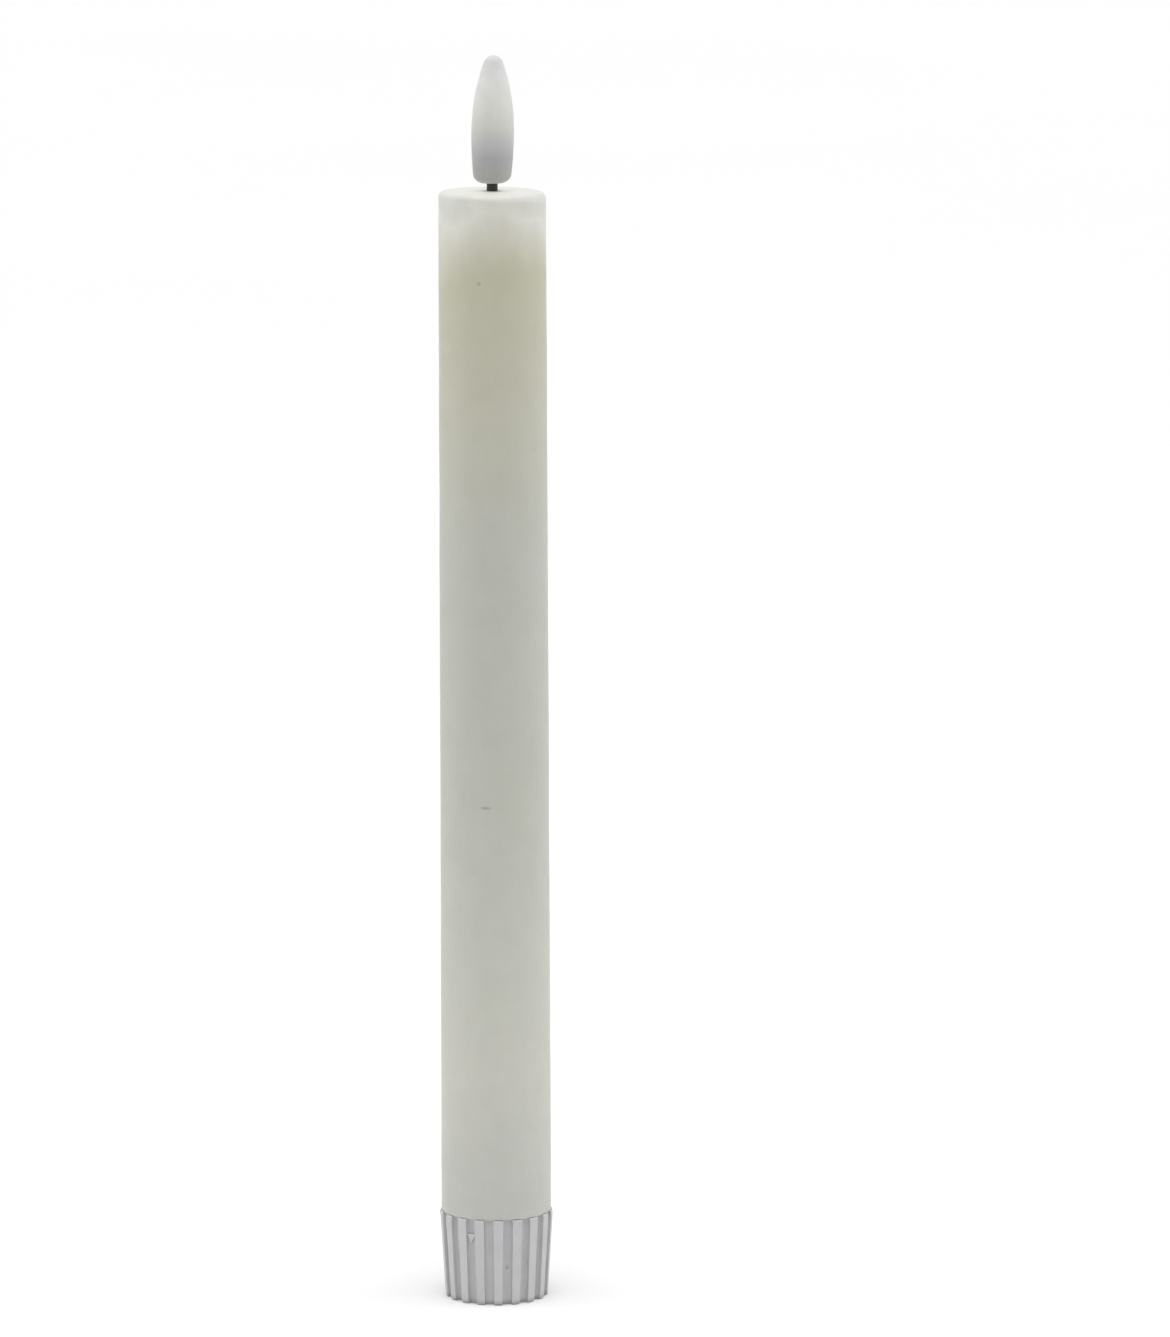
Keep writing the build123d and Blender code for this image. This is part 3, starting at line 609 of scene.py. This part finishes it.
def capacitor_finish():
    """Sleeve of the capacitor: dark blue, one pale stripe down its side, bare can at the top."""
    f = Finish("capacitor_sleeve")
    middle = (capacitor_low + capacitor_high) / 2
    aside = f.calc("ABSOLUTE", f.calc("SUBTRACT", f.axis("X"), middle.x))
    stripe = f.span(aside, *capacitor_stripe_edge, 1.0, 0.0)
    front = f.span(f.axis("Y"), middle.y, middle.y - capacitor_stripe_depth)
    body = f.mix(f.noise(1.5 * MM), tone("1c2a4a"), tone("243459"))
    body = f.mix(f.calc("MULTIPLY", stripe, front), body, tone("a9b0bd"))
    bare = f.span(f.axis("Z"), *[capacitor_high.z - depth for depth in capacitor_bare_edge])
    f.set(
        Base_Color=f.mix(bare, body, tone("b9bbbd")),
        Metallic=bare,
        Roughness=f.varied(0.28, 0.44, size=0.8 * MM, detail=5.0),
        Normal=f.grain(depth=0.004 * MM, size=0.3 * MM),
    )
    return f


def resistor_finish():
    """Chip resistors: dark film on white ceramic, with tinned ends."""
    f = Finish("resistor_ceramic")
    along = f.axis("Z")
    end = f.calc(
        "MAXIMUM",
        f.span(along, *[resistors_low.z + depth for depth in resistor_end_edge]),
        f.span(along, *[resistors_high.z - depth for depth in resistor_end_edge]),
    )
    speckle = f.noise(0.15 * MM, rough=0.7)
    f.set(
        Base_Color=f.mix(end, f.mix(speckle, tone("1f2022"), tone("34353a")), tone("c6c8ca")),
        Metallic=end,
        Roughness=f.swing(speckle, 0.30, 0.50),
        Normal=f.bump(speckle, 0.006 * MM),
    )
    return f


def solder_finish():
    """Solder: bright, slightly frosted, with dull flux round it."""
    f = Finish("solder")
    frost = f.noise(0.3 * MM, detail=5.0, rough=0.65)
    flux = f.patches(flux_strength, start=0.6, full=0.75, size=1.0 * MM)
    f.set(
        Base_Color=f.mix(flux, tone("cfd1d3"), tone("8b7a55")),
        Metallic=f.span(flux, 0.0, flux_strength, 1.0, 0.4),
        Roughness=f.swing(frost, 0.22, 0.42),
        Normal=f.bump(frost, 0.02 * MM),
    )
    return f


def led_finish():
    """Epoxy lens of the LED: clear and warm, with the chip's phosphor showing as a yellow heart."""
    f = Finish("led_epoxy")
    heart = f.near((0.0, 0.0, led_low.z + led_heart_height), led_heart_radius)
    haze = f.noise(0.7 * MM)
    f.set(
        Base_Color=f.mix(heart, f.mix(haze, tone("efeee6"), tone("e4e3da")), tone("e8c64a")),
        Transmission_Weight=0.35,
        Roughness=f.swing(haze, 0.10, 0.22),
        Normal=f.bump(haze, 0.004 * MM),
        IOR=1.54,
    )
    return f


finishes = {
    "wax": wax_finish(),
    "flame_frosted": flame_finish(),
    "wick_black": wick_finish(),
    "foot_plastic": foot_finish(),
    "circuit_board": board_finish(),
    "chip_black": chip_finish(),
    "capacitor_sleeve": capacitor_finish(),
    "resistor_ceramic": resistor_finish(),
    "solder": solder_finish(),
    "cell_jacket": jacket_finish(),
    "led_epoxy": led_finish(),
}
for name, code, rough, extra in (
    ("flame_base_plastic", "d2d2cf", 0.42, {"skin": 0.1}),
    ("neck_plastic", "dededb", 0.38, {"skin": 0.1}),
    ("tube_plastic", "d8d6cc", 0.40, {"skin": 0.1}),
    ("sleeve_plastic", "e4e4e2", 0.36, {"skin": 0.1}),
    ("holder_plastic", "343537", 0.42, {"spread": 0.12}),
    ("knob_plastic", "2c2d2f", 0.44, {"spread": 0.15, "patch": 2 * MM}),
):
    finishes[name] = moulded(name, code, rough, **extra)
for name, code, rough, stretch, extra in (
    ("switch_steel", "b7b8b6", 0.30, along_z(0.2), {}),
    ("contact_steel", "cdccc6", 0.26, along_z(0.15), {}),
    ("wiper_brass", "c9a45a", 0.26, (0.15, 1, 1), {}),
    ("screw_steel", "a9abad", 0.30, (1, 1, 1), {"depth": 0.004 * MM}),
    ("spring_steel", "b9bbbd", 0.24, (0.3, 0.3, 1), {}),
    ("crystal_can", "c8c9cb", 0.22, along_z(0.2), {}),
    ("cell_steel", "c3c4c2", 0.24, (1, 1, 1), {"line": 0.25 * MM}),
    ("lead_wire", "c9cacb", 0.28, along_z(0.2), {}),
):
    finishes[name] = metal(name, code, rough, stretch, **extra)
for name, code in (("red_insulation", "b4231f"), ("black_insulation", "1d1c1c")):
    finishes[name] = insulation(name, code)

for carried in nodes.values():
    for place in carried.material_slots:
        place.material = finishes[place.material.name.split(".")[0]].material


# ---------------------------------------------------------------- mesh helpers
def shown(name, mesh, finish, stands_for):
    """Puts a mesh in the scene as one piece that rides with the node it stands for."""
    mesh.materials.clear()
    mesh.materials.append(finishes[finish].material)
    piece = bpy.data.objects.new(name, mesh)
    bpy.context.scene.collection.objects.link(piece)
    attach(piece, nodes[stands_for]["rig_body"])
    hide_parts(stands_for)
    return piece


def around(angle, radius, z):
    return Vector((radius * cos(angle), radius * sin(angle), z))


def half_noise(at):
    """Noise from 0 to 1 at a point."""
    return 0.5 + 0.5 * noise.noise(at)


def lathe(name, outline_at, segments, crease=skin_crease):
    """A closed skin from outline_at(angle), which gives the same number of (radius, z) points at
    each angle, in order round the section."""
    shape = bmesh.new()
    columns = []
    for step in range(segments):
        angle = 2 * pi * step / segments
        columns.append([shape.verts.new(around(angle, r, z)) for r, z in outline_at(angle)])
    count = len(columns[0])
    for step, column in enumerate(columns):
        beside = columns[(step + 1) % segments]
        for i in range(count):
            j = (i + 1) % count
            shape.faces.new((column[i], beside[i], beside[j], column[j]))
    bmesh.ops.remove_doubles(shape, verts=shape.verts, dist=merge_distance)
    bmesh.ops.recalc_face_normals(shape, faces=shape.faces)
    mesh = bpy.data.meshes.new(name)
    shape.to_mesh(mesh)
    shape.free()
    mesh.shade_smooth()
    mesh.set_sharp_from_angle(angle=radians(crease))
    return mesh


def steps(start, end, count):
    """count values from start, evenly towards end, which is left out."""
    return [start + (end - start) * i / count for i in range(count)]


def softened(node, width):
    """A copy of a CAD node's mesh with its edges rounded as moulding leaves them."""
    mesh = nodes[node].data.copy()
    shape = bmesh.new()
    shape.from_mesh(mesh)
    bmesh.ops.remove_doubles(shape, verts=shape.verts, dist=weld_distance)
    bmesh.ops.dissolve_limit(
        shape, angle_limit=radians(flat_angle), verts=shape.verts, edges=shape.edges
    )
    corners = [
        e
        for e in shape.edges
        if len(e.link_faces) == 2 and e.calc_face_angle() > radians(edge_angle)
    ]
    bmesh.ops.bevel(
        shape,
        geom=corners,
        offset=width,
        segments=3,
        profile=0.5,
        affect="EDGES",
        clamp_overlap=True,
    )
    bmesh.ops.remove_doubles(shape, verts=shape.verts, dist=merge_distance)
    shape.to_mesh(mesh)
    shape.free()
    if "custom_normal" in mesh.attributes:
        mesh.attributes.remove(mesh.attributes["custom_normal"])
    mesh.shade_smooth()
    mesh.set_sharp_from_angle(angle=radians(edge_crease))
    return mesh


# ---------------------------------------------------------------- wax
def wax_side(angle, z):
    """The drafted radius of the wax's side, with its lumps and ripples."""
    draft = wax_draft * (z - wax_low.z) / (wax_high.z - wax_low.z)
    at = around(angle, wax_radius, wax_pattern_length * z)
    lump = noise.fractal(
        at / wax_lump_size, wax_lump_roughness, wax_lump_lacunarity, wax_lump_octaves
    )
    ripple = noise.noise(at / wax_ripple_size + wax_ripple_shift)
    shift = wax_lump_height * lump + wax_ripple_height * ripple - wax_lump_height
    return wax_radius - draft + shift


def wax_outline(angle):
    """The wax's section: side, uneven rounded rim, slightly dished top, wick hole and bore."""
    right = (1 + cos(angle)) / 2
    edge = wax_edge_left + (wax_edge_right - wax_edge_left) * right
    edge += wax_edge_change * noise.noise(around(angle, *wax_edge_pattern))
    top = wax_high.z - wax_top_sink * half_noise(around(angle, *wax_top_pattern))
    bore, roof = tube_high.x + bond_gap, tube_high.z + bond_gap
    hole = wick_radius + wick_fit
    collar = hole + wick_collar_width

    points = [(wax_side(angle, wax_low.z) - wax_foot_edge, wax_low.z)]
    rings = int((wax_high.z - wax_low.z) / wax_ring_spacing)
    for z in steps(wax_low.z + wax_foot_edge, top - edge, rings):
        points.append((wax_side(angle, z), z))
    across = wax_side(angle, top - edge) - edge
    for i in range(wax_edge_points + 1):
        turn = radians(90 * i / wax_edge_points)
        points.append((across + edge * cos(turn), top - edge + edge * sin(turn)))
    for share in wax_top_rings:
        r = collar + (across - collar) * share
        dish = wax_top_dish * (1 - ((r - hole) / (across - hole)) ** 2)
        wave = wax_top_wave * noise.noise(around(angle, r, 0.0) / wax_top_wave_size)
        points.append((r, top - dish + wave))
    for width, dish, rise in wick_collar:
        r = hole + width * wick_collar_width
        points.append((r, top - dish * wax_top_dish + rise * wick_collar_height))
    points += [(hole, roof), (bore, roof)]
    points += [(bore, z) for z in steps(roof, wax_low.z, wax_bore_rings)[1:]]
    points.append((bore, wax_low.z))
    return points


shown("wax_body", lathe("wax_body", wax_outline, wax_segments), "wax", "wax_shell")


# ---------------------------------------------------------------- wick
def wick_outline(angle):
    """Heat-shrink tube, wrinkled along its length."""
    points = []
    for z in steps(wick_low.z, wick_high.z, wick_rings) + [wick_high.z]:
        wrinkle = half_noise(around(angle, wick_pattern_radius, z / wick_wrinkle_length))
        points.append((wick_radius - wick_wrinkle * wrinkle, z))
    return points + [(wick_bore, wick_high.z), (wick_bore, wick_low.z)]


wick_mesh = lathe("wick_tube", wick_outline, wick_segments)
shown("wick_tube", wick_mesh, "wick_black", "wick_sleeve")


# ---------------------------------------------------------------- flame
def tangent_arc(belly, end):
    """Centre and radius of the arc that leaves belly (radius, z) upright and passes through end."""
    inward, rise = belly[0] - end[0], abs(end[1] - belly[1])
    radius = (inward**2 + rise**2) / (2 * inward)
    return (belly[0] - radius, belly[1]), radius


def rounded_half(belly, end, fillet, count):
    """Section from belly to the level of end, on the tangent arc, with its own fillet there."""
    centre, radius = tangent_arc(belly, end)
    way = 1 if end[1] > belly[1] else -1
    middle_z = end[1] - way * fillet
    middle_r = centre[0] + sqrt((radius - fillet) ** 2 - (middle_z - centre[1]) ** 2)
    meet = atan2(middle_z - centre[1], middle_r - centre[0])
    side = [
        (centre[0] + radius * cos(a), centre[1] + radius * sin(a)) for a in steps(0.0, meet, count)
    ]
    turns = [meet + (way * pi / 2 - meet) * i / fillet_points for i in range(fillet_points + 1)]
    return side + [(middle_r + fillet * cos(a), middle_z + fillet * sin(a)) for a in turns]


flame_belly = (flame_radius, flame_bottom + flame_belly_level)
flame_crown = (flame_crown_radius, flame_top)
flame_heel = (led_high.x + flame_side_gap + flame_wall, flame_bottom)
cavity_belly = (flame_radius - flame_wall, flame_belly[1])
cavity_crown = (cavity_crown_radius, flame_top - flame_tip_wall)
cavity_heel = (flame_heel[0] - flame_wall, flame_bottom + flame_wall)
base_hole = flame_base_high.x + wick_fit


def flame_outline(angle):
    """Section of the frosted shell, from its tip down the outside and back up its cavity."""
    wave = noise.noise(around(angle, *flame_pattern))
    outside = rounded_half(flame_belly, flame_crown, flame_crown_fillet, flame_crown_points)[::-1]
    outside += rounded_half(flame_belly, flame_heel, flame_heel_fillet, flame_heel_points)[1:]
    for i, (r, z) in enumerate(outside):
        swell = noise.noise(around(angle, 1.0, z / flame_wave_length))
        outside[i] = (r * (1 - flame_wave / flame_radius * (0.5 + 0.5 * wave + 0.5 * swell)), z)
    lower = rounded_half(cavity_belly, cavity_heel, cavity_heel_fillet, cavity_heel_points)
    upper = rounded_half(cavity_belly, cavity_crown, cavity_crown_fillet, cavity_crown_points)
    inside = [(base_hole, flame_bottom), (base_hole, flame_base_high.z)]
    inside += lower[:-cavity_points_over_hole][::-1]
    inside += upper[1:]
    return [(0.0, flame_top)] + outside + inside + [(0.0, cavity_crown[1])]


flame_mesh = lathe("flame_skin", flame_outline, flame_segments, flame_crease)
for point in flame_mesh.vertices:
    point.co.x += flame_lean * (point.co.z - flame_bottom)
flame_skin = shown("flame_skin", flame_mesh, "flame_frosted", "flame_shell")
# the frosted shell lets the overhead light through to the wax round the wick
flame_skin.visible_shadow = False

# ---------------------------------------------------------------- foot and knob
for name, node, rounding, slot in (
    ("ribbed_foot", "foot_shell", foot_edge, "foot_plastic"),
    ("switch_knob", "switch_slider", knob_edge, "knob_plastic"),
):
    piece = shown(name, softened(node, rounding), slot, node)
    piece.modifiers.new("flat_faces", "WEIGHTED_NORMAL").keep_sharp = True

# ---------------------------------------------------------------- floor
floor_half_size = 9.0
floor_squares = 24
floor_cloud_size = 0.6
floor_glow = 0.07

floor_mesh = bpy.data.meshes.new("floor")
floor_shape = bmesh.new()
bmesh.ops.create_grid(
    floor_shape, x_segments=floor_squares, y_segments=floor_squares, size=floor_half_size
)
floor_shape.to_mesh(floor_mesh)
floor_shape.free()
floor = bpy.data.objects.new("floor", floor_mesh)
bpy.context.scene.collection.objects.link(floor)
floor_look = Finish("floor")
floor_look.set(
    Base_Color=floor_look.mix(floor_look.noise(floor_cloud_size), tone("f7f7f7"), tone("fafafa")),
    Roughness=0.8,
    Specular_IOR_Level=0.1,
    Emission_Color=grey(1.0),
    Emission_Strength=floor_glow,
)
floor_mesh.materials.append(floor_look.material)

# ---------------------------------------------------------------- light
backdrop_strength = 0.98
fill_strength = 0.2
panel_aim = (0.0, 0.0, 0.12)
panel_width = 0.7
panel_height = 0.9
overhead_power = 2.45
overhead_spread = 70
overhead_tilt = 8

# the world is bright to the camera and in reflections, and dim as a light
world = bpy.data.worlds.new("tent")
world.use_nodes = True
bpy.context.scene.world = world
sky = world.node_tree
background = sky.nodes["Background"]
rays = sky.nodes.new("ShaderNodeLightPath")
seen = sky.nodes.new("ShaderNodeMath")
seen.operation = "MAXIMUM"
sky.links.new(rays.outputs["Is Camera Ray"], seen.inputs[0])
sky.links.new(rays.outputs["Is Glossy Ray"], seen.inputs[1])
strength = sky.nodes.new("ShaderNodeMapRange")
strength.inputs["To Min"].default_value = fill_strength
strength.inputs["To Max"].default_value = backdrop_strength
sky.links.new(seen.outputs["Value"], strength.inputs["Value"])
sky.links.new(strength.outputs["Result"], background.inputs["Strength"])
background.inputs["Color"].default_value = grey(1.0)

for name, spot, power in (
    ("left_panel", (-0.75, 0.12, 0.35), 1.15),
    ("right_panel", (0.75, 0.12, 0.35), 1.25),
):
    light = bpy.data.lights.new(name, "AREA")
    light.shape = "RECTANGLE"
    light.size = panel_width
    light.size_y = panel_height
    light.energy = power
    panel = bpy.data.objects.new(name, light)
    panel.location = spot
    panel.rotation_euler = (Vector(panel_aim) - Vector(spot)).to_track_quat("-Z", "Y").to_euler()
    bpy.context.scene.collection.objects.link(panel)

overhead = bpy.data.lights.new("overhead", "SUN")
overhead.energy = overhead_power
overhead.angle = radians(overhead_spread)
overhead_holder = bpy.data.objects.new("overhead", overhead)
overhead_holder.rotation_euler = (radians(overhead_tilt), 0.0, 0.0)
bpy.context.scene.collection.objects.link(overhead_holder)

# ---------------------------------------------------------------- camera
camera_place = (0.0181, -1.385, 0.353)
camera_down = 9.232
camera_roll = -0.12

camera = bpy.data.cameras.new("camera")
camera.sensor_width = 36.0
camera.lens = 189.6
camera.clip_start = 0.05
camera.clip_end = 50.0
camera_holder = bpy.data.objects.new("camera", camera)
bpy.context.scene.collection.objects.link(camera_holder)
camera_holder.matrix_world = (
    Matrix.Translation(camera_place)
    @ Matrix.Rotation(radians(90 - camera_down), 4, "X")
    @ Matrix.Rotation(radians(camera_roll), 4, "Z")
)
bpy.context.scene.camera = camera_holder
bpy.context.scene.view_settings.view_transform = "Standard"

bpy.context.view_layer.update()
